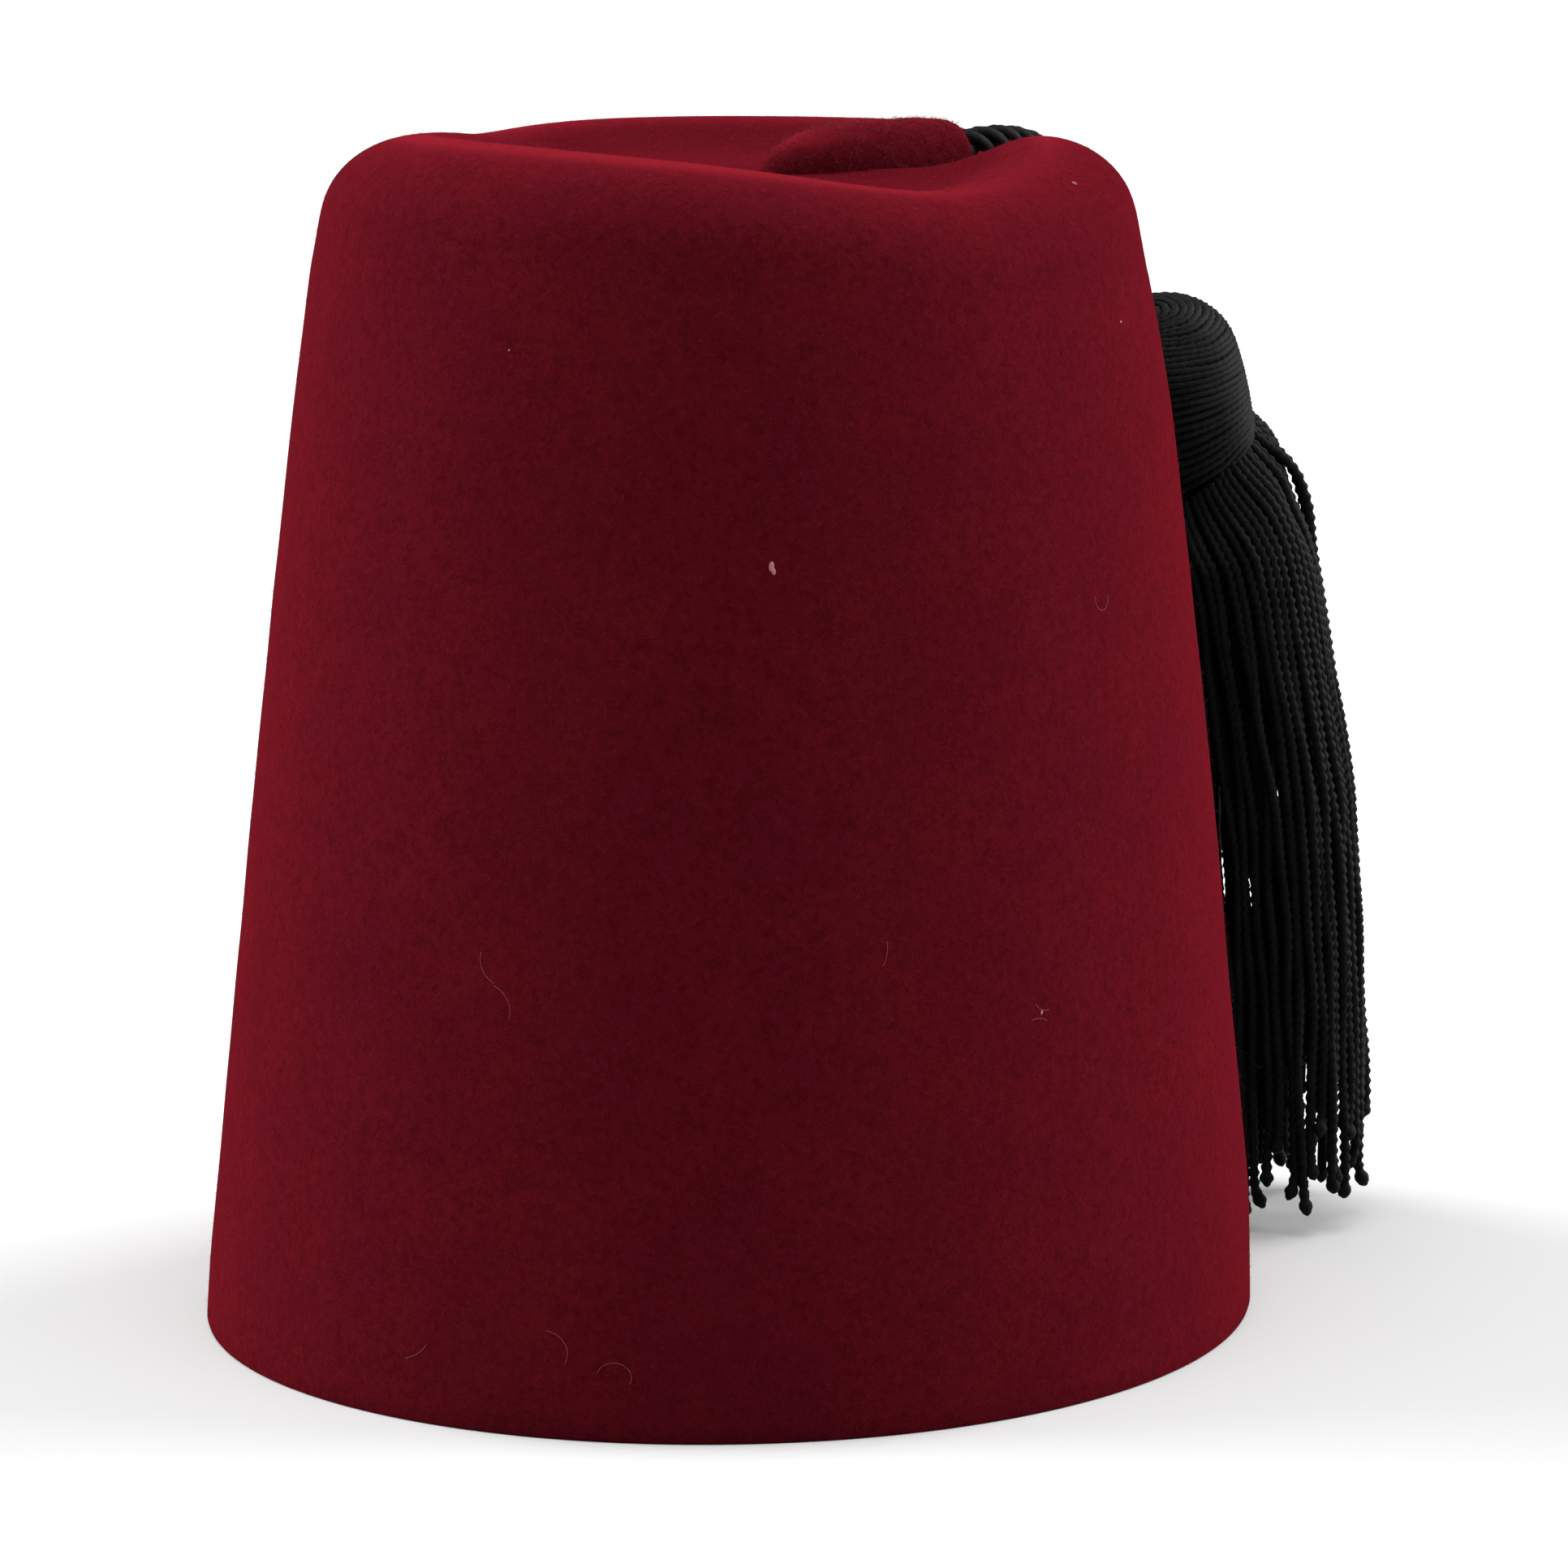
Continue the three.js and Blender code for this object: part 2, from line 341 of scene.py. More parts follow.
@dataclass(frozen=True)
class PlainFinish:
    """A plain matte surface with a faint unevenness, for the studio and for dust."""

    name: str
    colour: tuple
    roughness: float = 0.9

    def material(self) -> bpy.types.Material:
        """Makes the material."""
        shader = Shader(self.name)
        tone = shader.noise(180.0, detail=2.0).between(0.2, 0.8)
        paler = tuple(min(1.0, level * 1.03) for level in self.colour)
        shader.set(Base_Color=shader.mix(tone, self.colour, paler), Roughness=self.roughness,
                   Specular_IOR_Level=0.2)
        return shader.material


# ---- Bench: how shapes become pieces ----


def ease(value: np.ndarray, low: float, high: float) -> np.ndarray:
    """Eases from 0 to 1 as a value goes from low to high.

    Args:
        value: The values.
        low: Where the easing starts.
        high: Where it ends.

    Returns:
        The eased shares.
    """
    share = np.clip((value - low) / (high - low), 0.0, 1.0)
    return share * share * (3 - 2 * share)


def points_of(mesh: bpy.types.Mesh) -> np.ndarray:
    """Reads a mesh's vertices.

    Args:
        mesh: The mesh.

    Returns:
        One row a vertex.
    """
    flat = np.empty(len(mesh.vertices) * 3)
    mesh.vertices.foreach_get("co", flat)
    return flat.reshape(-1, 3)


def link(name: str, data: bpy.types.ID) -> bpy.types.Object:
    """Makes an object of a mesh, a lamp or a camera and puts it in the scene."""
    made = bpy.data.objects.new(name, data)
    bpy.context.scene.collection.objects.link(made)
    return made


def unit_rows(vectors: np.ndarray) -> np.ndarray:
    """Scales each vector to a length of 1."""
    return vectors / np.linalg.norm(vectors, axis=-1, keepdims=True)


def distances(line: np.ndarray) -> np.ndarray:
    """Gives how far along a line each of its points is."""
    return np.concatenate([[0], np.cumsum(np.linalg.norm(np.diff(line, axis=0), axis=1))])


def read_along(line: np.ndarray, at: np.ndarray) -> np.ndarray:
    """Reads a line at given distances along it.

    Args:
        line: The line's points.
        at: The distances.

    Returns:
        One point for each distance.
    """
    travelled = distances(line)
    return np.stack([np.interp(at, travelled, column) for column in line.T], axis=1)


def spun(points: Sequence[tuple[float, float]], segments: int, apart: float) -> bmesh.types.BMesh:
    """Spins an outline about the Z axis into a closed shape that faces outwards.

    Args:
        points: Radius and height of the outline's points.
        segments: How many steps the turn has.
        apart: Points closer than this are joined.

    Returns:
        The shape.
    """
    shape = bmesh.new()
    outline = [shape.verts.new((radius, 0, height)) for radius, height in points]
    edges = [shape.edges.new(pair) for pair in zip(outline, outline[1:])]
    bmesh.ops.spin(shape, geom=edges, cent=(0, 0, 0), axis=(0, 0, 1), dvec=(0, 0, 0), angle=math.tau,
                   steps=segments, use_merge=True)
    bmesh.ops.remove_doubles(shape, verts=shape.verts[:], dist=apart)
    bmesh.ops.recalc_face_normals(shape, faces=shape.faces[:])
    return shape


def mesh_from(name: str, shape: bmesh.types.BMesh) -> bpy.types.Mesh:
    """Turns a bmesh into a mesh and frees it.

    Args:
        name: The mesh's name.
        shape: The bmesh.

    Returns:
        The mesh.
    """
    mesh = bpy.data.meshes.new(name)
    shape.to_mesh(mesh)
    shape.free()
    return mesh


def repeated(name: str, template: bpy.types.Mesh, places: np.ndarray) -> bpy.types.Mesh:
    """Joins many reshaped copies of one small mesh.

    Args:
        name: The new mesh's name.
        template: The small mesh, whose faces each copy has.
        places: The vertices of the copies, as copies by vertices by 3.

    Returns:
        The joined mesh.
    """
    copies, count, _ = places.shape
    corners = np.empty(len(template.loops), np.int32)
    template.loops.foreach_get("vertex_index", corners)
    starts = np.empty(len(template.polygons), np.int32)
    template.polygons.foreach_get("loop_start", starts)
    turn = np.arange(copies)[:, None]
    mesh = bpy.data.meshes.new(name)
    mesh.vertices.add(copies * count)
    mesh.loops.add(copies * len(corners))
    mesh.polygons.add(copies * len(starts))
    mesh.vertices.foreach_set("co", places.astype(np.float32).ravel())
    mesh.loops.foreach_set("vertex_index", (corners[None] + turn * count).astype(np.int32).ravel())
    mesh.polygons.foreach_set("loop_start", (starts[None] + turn * len(corners)).astype(np.int32).ravel())
    mesh.update(calc_edges=True)
    return mesh


def tube_template(sides: int, steps: int) -> bpy.types.Mesh:
    """Makes a closed unit tube along Z, whose vertices a thread's line then moves.

    Args:
        sides: How many sides it has.
        steps: How many lengths it is cut into.

    Returns:
        The tube, from z = 0 to z = 1 with a radius of 1.
    """
    shape = bmesh.new()
    bmesh.ops.create_circle(shape, segments=sides, radius=1.0)
    bmesh.ops.spin(shape, geom=shape.edges[:], cent=(0, 0, 0), axis=(0, 0, 1), dvec=(0, 0, 1 / steps),
                   angle=0, steps=steps, use_merge=False)
    bmesh.ops.remove_doubles(shape, verts=shape.verts[:], dist=1e-6)
    bmesh.ops.holes_fill(shape, edges=shape.edges[:], sides=sides)
    bmesh.ops.recalc_face_normals(shape, faces=shape.faces[:])
    return mesh_from("tube_template", shape)


@dataclass
class Thread:
    """A thread of twisted plies, swept as one lobed tube along each of its lines."""

    radius: float
    lobe: float
    pitch: float
    plies: int = 2
    sides: int = 6

    def sweep(self, name: str, lines: np.ndarray, sideways: np.ndarray, thickness: np.ndarray,
              phase: np.ndarray) -> bpy.types.Mesh:
        """Sweeps the thread along lines with the same number of points.

        Args:
            name: The mesh's name.
            lines: Centrelines in millimetres, as lines by points by 3.
            sideways: A direction across each line at each point, of the same shape.
            thickness: The share of the radius at each point, as lines by points.
            phase: Where each line's twist starts, in radians.

        Returns:
            The mesh, in metres.
        """
        steps = lines.shape[1] - 1
        template = tube_template(self.sides, steps)
        unit = points_of(template)
        row = np.rint(unit[:, 2] * steps).astype(int)
        angle = np.arctan2(unit[:, 1], unit[:, 0])
        along = np.gradient(lines, axis=1)
        travelled = np.cumsum(np.linalg.norm(along, axis=2), axis=1)
        along = unit_rows(along)
        across = unit_rows(np.cross(along, sideways))
        outward = np.cross(across, along)
        turned = travelled[:, row] * (math.tau / self.pitch)
        twist = self.plies * angle[None] - turned * self.plies + phase[:, None]
        plain = 1 - np.clip(np.abs(thickness[:, row] - 1) * 2.2, 0, 1)
        size = self.radius * thickness[:, row] * (1 + self.lobe * plain * np.cos(twist))
        places = (lines[:, row] + size[..., None] * (np.cos(angle)[None, :, None] * outward[:, row]
                                                     + np.sin(angle)[None, :, None] * across[:, row]))
        mesh = repeated(name, template, places * MM)
        bpy.data.meshes.remove(template)
        return mesh


def keep_facing_out(mesh: bpy.types.Mesh) -> None:
    """Turns a closed mesh's faces outwards."""
    shape = bmesh.new()
    shape.from_mesh(mesh)
    bmesh.ops.recalc_face_normals(shape, faces=shape.faces[:])
    shape.to_mesh(mesh)
    shape.free()


def surface_of(piece: bpy.types.Object) -> BVHTree:
    """Makes a piece's surface searchable.

    Args:
        piece: The piece.

    Returns:
        Its faces as a search tree.
    """
    mesh = piece.data
    faces = [tuple(face.vertices) for face in mesh.polygons]
    return BVHTree.FromPolygons([vertex.co for vertex in mesh.vertices], faces)


def mark_painted_lighting(mesh: bpy.types.Mesh, amount: np.ndarray) -> None:
    """Stores where the felt gets a painted highlight and painted shade.

    Args:
        mesh: The felt's mesh.
        amount: For each vertex, 0 for full painted shade, 0.5 where nothing is painted and 1 for a full
            painted highlight.
    """
    mesh.attributes.new(PAINTED_LIGHTING, "FLOAT", "POINT").data.foreach_set("value", amount.astype(np.float32))


def add_piece(name: str, mesh: bpy.types.Mesh, material: bpy.types.Material,
              stands_for: Sequence[str] = ()) -> bpy.types.Object:
    """Makes a mesh a piece of the hat.

    Args:
        name: The piece's name.
        mesh: Its mesh, in place.
        material: Its finish.
        stands_for: The CAD nodes that it replaces.

    Returns:
        The piece.
    """
    mesh.name = name
    mesh.polygons.foreach_set("use_smooth", [True] * len(mesh.polygons))
    mesh.materials.clear()
    mesh.materials.append(material)
    piece = link(name, mesh)
    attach(piece, BODY)
    if stands_for:
        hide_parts(*stands_for)
    triangles = sum(len(face.vertices) - 2 for face in mesh.polygons)
    log.info("%s: %d triangles", name, triangles)
    return piece


# ---- Felt cap ----


@dataclass(frozen=True)
class WallRow:
    """The outer wall at one height: its share of the rim's radius and its shift along +X."""

    height: float
    scale: float
    lean: float


@dataclass(frozen=True)
class EdgeWave:
    """A rise of the crown's edge, or a dip below zero, around an azimuth."""

    azimuth: float
    spread: float
    lift: float


@dataclass
class FeltCap:
    """The blocked felt cap: an oval wall, a rolled shoulder and a dished crown."""

    felt: float = 2.5
    rim_radius: float = 91.7
    oval: float = 0.0525
    rim_ease: float = 0.6
    shoulder_height: float = 181.0
    shoulder_scale: float = 0.766
    crest_height: float = 194.9
    crest_scale: float = 0.57
    dish_depth: float = 5.7
    dish_flatness: float = 2.4
    hollow_place: tuple[float, float] = (33.5, 18.7)
    hollow_depth: float = 2.4
    hollow_spread: float = 9.0
    wave_foot: float = 148.0
    segments: int = 240
    ring_gap: float = 3.2
    unevenness: float = 0.22
    wall: tuple[WallRow, ...] = (
        WallRow(0.6, 1.0, 0.0),
        WallRow(10, 0.9955, 0.2),
        WallRow(20, 0.9875, 0.5),
        WallRow(35, 0.97, 0.6),
        WallRow(55, 0.9465, 0.6),
        WallRow(78, 0.9195, 0.6),
        WallRow(100, 0.892, 0.6),
        WallRow(120, 0.8668, 0.6),
        WallRow(138, 0.8432, 0.6),
        WallRow(153, 0.8218, 0.5),
        WallRow(165, 0.8015, 0.3),
        WallRow(174, 0.7835, 0.0),
        WallRow(181, 0.766, 0.0),
    )
    waves: tuple[EdgeWave, ...] = (
        EdgeWave(-32, 36, -5.6),
        EdgeWave(-125, 45, 2.0),
        EdgeWave(18, 12, 0.9),
        EdgeWave(46.5, 11, -5.4),
        EdgeWave(158, 16, -1.2),
    )

    def outline(self, azimuth: np.ndarray) -> np.ndarray:
        """Gives the oval's radius as a share of its mean.

        Args:
            azimuth: Azimuths in radians.

        Returns:
            The shares.
        """
        return 1 - self.oval * np.cos(2 * azimuth)

    def edge_lift(self, azimuth: np.ndarray) -> np.ndarray:
        """Gives how far the crown's edge rises.

        Args:
            azimuth: Azimuths in radians.

        Returns:
            The rises in millimetres.
        """
        lift = np.zeros_like(azimuth)
        for wave in self.waves:
            away = np.arccos(np.cos(azimuth - math.radians(wave.azimuth))) / math.radians(wave.spread)
            lift += wave.lift * np.exp(-(away ** 2))
        return lift

    def section(self) -> list[tuple[float, float]]:
        """Draws the cap's closed section, from the middle of the crown's inside round to its outside.

        Returns:
            Radius and height of each point.
        """
        crest, shoulder = self.crest_scale * self.rim_radius, self.shoulder_scale * self.rim_radius

        def dish(share: float, drop: float) -> tuple[float, float]:
            """Gives a point of the dish, from its middle at 0 to the crest at 1."""
            depth = self.dish_depth * (1 + math.cos(math.pi * share ** self.dish_flatness)) / 2
            return share * crest, self.crest_height - drop - depth

        def roll(turn: float, inset: float) -> tuple[float, float]:
            """Gives a point of the rolled edge, from the crest at 0 to the shoulder at 1."""
            angle = turn * math.pi / 2
            rise = (self.crest_height - self.shoulder_height - inset) * math.cos(angle)
            return crest + (shoulder - crest - inset) * math.sin(angle), self.shoulder_height + rise

        rough = [(row.scale * self.rim_radius, row.height) for row in self.wall]
        rough += [roll(1 - i / 20, 0.0) for i in range(1, 21)]
        rough += [dish(1 - i / 40, 0.0) for i in range(1, 41)]
        outside = self.smoothed(np.array(rough))
        wall = [point for point in outside if point[1] < self.shoulder_height]
        inside = [dish(i / 16, self.felt) for i in range(16)]
        inside += [roll(i / 8, self.felt) for i in range(9)]
        inside += [(radius - self.felt, height) for radius, height in reversed(wall[::4])]
        outer, inner, corner = self.rim_radius, self.rim_radius - self.felt, 0.15
        rim = [(inner + corner, corner), (inner + self.rim_ease, 0.0), (outer - self.felt / 2, 0.0),
               (outer - self.rim_ease, 0.0), (outer - corner, corner)]
        return inside + rim + outside

    def smoothed(self, rough: np.ndarray) -> list[tuple[float, float]]:
        """Eases the corners of the outer line from the rim to the middle of the crown.

        Args:
            rough: Radius and height of its points.

        Returns:
            The eased line, close-set over the crown and wider apart on the wall.
        """
        step, reach = 0.25, 28
        line = read_along(rough, np.arange(0, distances(rough)[-1], step))
        before = 2 * line[0] - line[reach:0:-1]
        after = line[-2:-reach - 2:-1] * np.array([-1, 1])
        padded = np.concatenate([before, line, after])
        window = np.hanning(2 * reach + 1)
        window /= window.sum()
        eased = np.stack([np.convolve(padded[:, axis], window, "valid") for axis in (0, 1)], axis=1)
        on_wall = int(np.argmax(eased[:, 1] > self.shoulder_height - 8))
        picked = [*range(0, on_wall, int(self.ring_gap / step)), *range(on_wall, len(eased), 4)]
        points = [(float(max(eased[i, 0], 0.0)), float(eased[i, 1])) for i in picked]
        return [*points, (0.0, float(eased[-1, 1]))]

    def shaped(self, points: np.ndarray) -> np.ndarray:
        """Gives the turned cap its oval outline, its lean and its crown's waves.

        Args:
            points: Points of the round cap.

        Returns:
            The points of the real one.
        """
        azimuth = np.arctan2(points[:, 1], points[:, 0])
        round_radius = np.hypot(points[:, 0], points[:, 1])
        radius = round_radius * self.outline(azimuth)
        height = points[:, 2]
        lean = np.interp(height, [row.height for row in self.wall], [row.lean for row in self.wall])
        in_dish = round_radius < self.crest_scale * self.rim_radius
        share = np.where(in_dish, ease(round_radius, 0, self.crest_scale * self.rim_radius),
                         ease(height, self.wave_foot, self.crest_height))
        x, y = radius * np.cos(azimuth) + lean, radius * np.sin(azimuth)
        away = np.hypot(x - self.hollow_place[0], y - self.hollow_place[1]) / self.hollow_spread
        pinch = np.where(height > self.wave_foot, self.hollow_depth * np.exp(-(away ** 2)), 0.0)
        return np.stack([x, y, height + share * self.edge_lift(azimuth) - pinch], axis=1)

    def painted_lighting(self, points: np.ndarray) -> np.ndarray:
        """Gives the cap's painted light: a painted highlight on the crown's edge and painted shade in its
        dish.

        Args:
            points: Points of the round cap.

        Returns:
            The painted light and shade at each, 0.5 where none is painted.
        """
        crest = self.crest_scale * self.rim_radius
        spread = np.hypot(points[:, 0], points[:, 1])
        on_top = points[:, 2] > self.shoulder_height
        # Painted highlight along the crown's edge, weaker around an azimuth of -13 degrees.
        edge = np.exp(-(((spread - crest - 2.5) / 3.8) ** 2)) * on_top
        edge *= 1 - 0.7 * np.exp(-(((np.arctan2(points[:, 1], points[:, 0]) + 0.22) / 0.62) ** 2))
        # Painted shade in the crown's dish.
        dish = ease(crest - spread, 1.0, 10.0) * on_top
        return 0.5 + 0.5 * edge - 0.45 * dish

    def roughened(self, points: np.ndarray) -> np.ndarray:
        """Moves the surface in and out a little, as blocked felt is never quite even.

        Args:
            points: Points of the cap.

        Returns:
            The moved points. The rim's resting plane stays flat.
        """
        moved = points.copy()
        for index, (x, y, z) in enumerate(points):
            away = noise.noise(Vector((x, y, z)) / 38) + 0.4 * noise.noise(Vector((x, y, z)) / 15)
            share = self.unevenness * away * min(1.0, z / 25)
            reach = max(math.hypot(x, y), 1.0)
            moved[index] += np.array([x / reach, y / reach, 0.35]) * share
        return moved

    def build(self, felt: bpy.types.Material) -> bpy.types.Object:
        """Turns and shapes the cap.

        Args:
            felt: Its finish.

        Returns:
            The piece.
        """
        mesh = mesh_from("felt_cap", spun(self.section(), self.segments, 1e-4))
        turned = points_of(mesh)
        mark_painted_lighting(mesh, self.painted_lighting(turned))
        points = self.roughened(self.shaped(turned))
        mesh.vertices.foreach_set("co", (points * MM).ravel())
        mesh.update()
        return add_piece("felt_cap", mesh, felt, ["felt_body"])


@dataclass
class CrownFold:
    """The pinched roll of felt on the crown, long and sloping within, blunt at its outer end."""

    centre: tuple[float, float, float] = (20.4, 17.5, 185.5)
    azimuth: float = 47.7
    half_length: float = 13.2
    inner_reach: float = 10.6
    outer_reach: float = 3.0
    half_width: float = 8.8
    height: float = 11.4
    depth_in_felt: float = 1.2
    boxiness: float = 0.74
    taper: float = 0.3
    fall_away: float = 0.16
    segments: int = 120
    rings: int = 30

    def build(self, felt: bpy.types.Material, cap: bpy.types.Object) -> bpy.types.Object:
        """Spins a dome, stretches it and sets it into the crown.

        Args:
            felt: Its finish.
            cap: The cap, whose felt its foot stays in.

        Returns:
            The piece.
        """
        turns = np.linspace(0, math.pi / 2, self.rings + 1)
        arc = [(0.0, 0.0), (0.5, 0.0), *((math.cos(angle), math.sin(angle)) for angle in turns)]
        mesh = mesh_from("crown_fold", spun(arc, self.segments, 1e-5))
        unit = points_of(mesh)
        # Painted light on the fold: a painted highlight along its upper rim, a little painted shade
        # elsewhere, and paler towards its inner end.
        rim = np.exp(-(((unit[:, 2] - 0.8) / 0.16) ** 2)) * ease(-unit[:, 0], -0.3, 0.6)
        mark_painted_lighting(mesh, 0.45 + 0.35 * rim + 0.2 * ease(-unit[:, 0], 0.2, 0.9))
        level, spread = unit[:, 2], np.hypot(unit[:, 0], unit[:, 1])
        boxy = np.where(spread > 0, spread ** self.boxiness / np.maximum(spread, 1e-9), 0.0)
        x, y, rise = unit[:, 0] * boxy, unit[:, 1] * boxy, level ** self.boxiness
        inner = x < 0
        length = np.where(inner, x * (self.half_length + self.inner_reach), x * self.outer_reach)
        length += np.where(inner, 0.0, np.tanh(x * 6) * self.half_length)
        along = np.clip(-length / (self.half_length + self.inner_reach), 0, 1)
        taper = 1 - self.taper * along ** 2
        top = self.height * (1 - self.fall_away * along ** 3)
        points = np.stack([length, y * self.half_width * taper, rise * top], axis=1)
        for index, point in enumerate(points):
            bump = noise.noise(Vector(point) / 8) * 0.35 * min(1.0, point[2] / 3)
            points[index, 2] += bump
        turn = math.radians(self.azimuth)
        x, y, z = points.T
        placed = np.stack([x * math.cos(turn) - y * math.sin(turn),
                           x * math.sin(turn) + y * math.cos(turn), z], axis=1)
        placed += np.array(self.centre)
        surface = surface_of(cap)
        for index, (x, y, _) in enumerate(placed):
            spot, _, _, _ = surface.ray_cast(Vector((x, y, 250)) * MM, Vector((0, 0, -1)))
            placed[index, 2] = max(placed[index, 2], spot.z / MM - self.depth_in_felt)
        mesh.vertices.foreach_set("co", (placed * MM).ravel())
        mesh.update()
        return add_piece("crown_fold", mesh, felt)


@dataclass
class FeltNap:
    """Loose fibres that lie over and stand off the felt, thickest on its rolled edges."""

    count: int = 12000
    fold_count: int = 2200
    radius: float = 0.028
    shortest: float = 0.4
    longest: float = 1.5
    fold_longest: float = 2.3
    seed: int = 11

    def template(self) -> bpy.types.Mesh:
        """Makes one straight fibre of unit length along X, which the build then bends and lifts.

        Returns:
            The fibre's mesh.
        """
        shape = bmesh.new()
        bmesh.ops.create_circle(shape, segments=3, radius=1.0)
        bmesh.ops.rotate(shape, verts=shape.verts[:], matrix=Matrix.Rotation(math.pi / 2, 3, "Y"))
        bmesh.ops.spin(shape, geom=shape.edges[:], cent=(0, 0, 0), axis=(1, 0, 0), dvec=(1 / 3, 0, 0),
                       angle=0, steps=3, use_merge=False)
        bmesh.ops.holes_fill(shape, edges=shape.edges[:], sides=3)
        bmesh.ops.recalc_face_normals(shape, faces=shape.faces[:])
        return mesh_from("fibre", shape)

    def build(self, over: Sequence[tuple[bpy.types.Object, int, float]],
              nap: bpy.types.Material) -> bpy.types.Object:
        """Scatters the fibres over pieces of felt.

        Args:
            over: The felt pieces, with how many fibres each gets and how long the longest are.
            nap: The fibres' finish.

        Returns:
            The piece.
        """
        rng = np.random.default_rng(self.seed)
        template = self.template()
        unit = points_of(template)
        batches = []
        for piece, count, longest in over:
            mesh = piece.data
            faces = len(mesh.polygons)
            area, centre, normal = np.empty(faces), np.empty(faces * 3), np.empty(faces * 3)
            mesh.polygons.foreach_get("area", area)
            mesh.polygons.foreach_get("center", centre)
            mesh.polygons.foreach_get("normal", normal)
            centre, normal = centre.reshape(-1, 3) / MM, normal.reshape(-1, 3)
            outward = (normal[:, :2] * centre[:, :2]).sum(axis=1)
            seen = ((outward > 0) & (centre[:, 2] > 2)) | (normal[:, 2] > 0.3)
            high = 1 + 1.5 * ease(centre[:, 2], 176, 192)
            weight = area * seen * high
            chosen = rng.choice(faces, count, p=weight / weight.sum())
            up = normal[chosen]
            guess = rng.normal(size=(count, 3))
            lie = guess - (guess * up).sum(axis=1, keepdims=True) * up
            lie = unit_rows(lie)
            side = np.cross(up, lie)
            length = rng.uniform(self.shortest, longest, count)[:, None]
            lift = rng.uniform(0.08, 0.75, count)[:, None]
            bend = rng.normal(0, 0.28, count)[:, None]
            stray = rng.uniform(-0.8, 0.8, (2, count, 1))
            base = centre[chosen] + lie * stray[0] + side * stray[1]
            along = unit[:, 0][None]
            thin = self.radius * (1.15 - 0.9 * along)
            reach = length * along
            rise = length * lift * along ** 1.5 + unit[:, 2][None] * thin
            drift = length * bend * along ** 2 + unit[:, 1][None] * thin
            batches.append(base[:, None] + lie[:, None] * reach[..., None] + up[:, None] * rise[..., None]
                           + side[:, None] * drift[..., None])
        mesh = repeated("felt_nap", template, np.concatenate(batches) * MM)
        bpy.data.meshes.remove(template)
        return add_piece("felt_nap", mesh, nap)


@dataclass(frozen=True)
class Speck:
    """A bit of pale lint on the felt: where it is, its half length and half width, and its slant."""

    azimuth: float
    height: float
    long: float
    wide: float
    slant: float


@dataclass(frozen=True)
class Hair:
    """A loose hair: where it starts, its length, which way it runs and how far it turns in all."""

    azimuth: float
    height: float
    length: float
    heading: float
    curl: float


@dataclass
class Lint:
    """The few bits of lint and loose hairs on the cap."""

    hair_radius: float = 0.018
    hair_steps: int = 24
    clearance: float = 0.03
    wall_radius: float = 80.0
    speck_thickness: float = 0.16
    specks: tuple[Speck, ...] = (
        Speck(-71.1, 134.9, 0.8, 0.42, 82),
        Speck(-70.9, 134.2, 0.62, 0.36, 104),
        Speck(-6.0, 189.0, 0.5, 0.28, 115),
        Speck(-11.0, 167.5, 0.28, 0.22, 20),
        Speck(-41.0, 63.0, 0.42, 0.2, 75),
        Speck(-102.0, 167.0, 0.2, 0.14, 40),
    )
    hairs: tuple[Hair, ...] = (
        Hair(-101.5, 74.5, 5.5, -100, 75),
        Hair(-99.8, 69.5, 6.0, -25, -80),
        Hair(-27.0, 126.0, 6.5, -100, 200),
        Hair(-42.5, 62.0, 3.2, 20, -60),
        Hair(-41.8, 64.5, 3.0, -60, 70),
        Hair(-93.0, 17.0, 6.5, -10, -110),
        Hair(-88.0, 11.0, 7.5, 70, -190),
        Hair(-60.0, 73.0, 4.0, 60, 40),
        Hair(-108.0, 10.0, 4.5, 15, 50),
    )

    def build(self, cap: bpy.types.Object, dust: bpy.types.Material) -> bpy.types.Object:
        """Lays the lint on the cap.

        Args:
            cap: The felt cap.
            dust: The lint's finish.

        Returns:
            The piece.
        """
        surface = surface_of(cap)

        def land(azimuth: float, height: float) -> tuple[Vector, Vector]:
            """Finds the felt at an azimuth and a height, and which way it faces."""
            outward = Vector((math.cos(math.radians(azimuth)), math.sin(math.radians(azimuth)), 0))
            start = outward * 0.3 + Vector((0, 0, height * MM))
            spot, normal, _, _ = surface.ray_cast(start, -outward)
            return spot, normal

        joined = bmesh.new()
        for speck in self.specks:
            spot, normal = land(speck.azimuth, speck.height)
            grain = bmesh.ops.create_icosphere(joined, subdivisions=2, radius=1.0)["verts"]
            size = Matrix.Diagonal((speck.long * MM, speck.wide * MM, self.speck_thickness * MM, 1))
            turned = normal.to_track_quat("Z", "Y").to_matrix().to_4x4() @ Matrix.Rotation(
                math.radians(speck.slant), 4, "Z")
            bmesh.ops.transform(joined, matrix=Matrix.Translation(spot) @ turned @ size, verts=grain)
        thread = Thread(radius=self.hair_radius, lobe=0.0, pitch=5.0, sides=5)
        for hair in self.hairs:
            azimuth, height, heading = hair.azimuth, hair.height, hair.heading
            step = hair.length / self.hair_steps
            line, faces = [], []
            for _ in range(self.hair_steps + 1):
                spot, normal = land(azimuth, height)
                line.append(spot / MM + normal * (self.hair_radius + self.clearance))
                faces.append(normal)
                azimuth += math.degrees(step * math.cos(math.radians(heading)) / self.wall_radius)
                height += step * math.sin(math.radians(heading))
                heading += hair.curl / self.hair_steps
            plain = np.ones((1, self.hair_steps + 1))
            mesh = thread.sweep("hair", np.array([line]), np.array([faces]), plain, np.zeros(1))
            joined.from_mesh(mesh)
            bpy.data.meshes.remove(mesh)
        bmesh.ops.recalc_face_normals(joined, faces=joined.faces[:])
        return add_piece("felt_lint", mesh_from("felt_lint", joined), dust)


# ---- Tassel ----


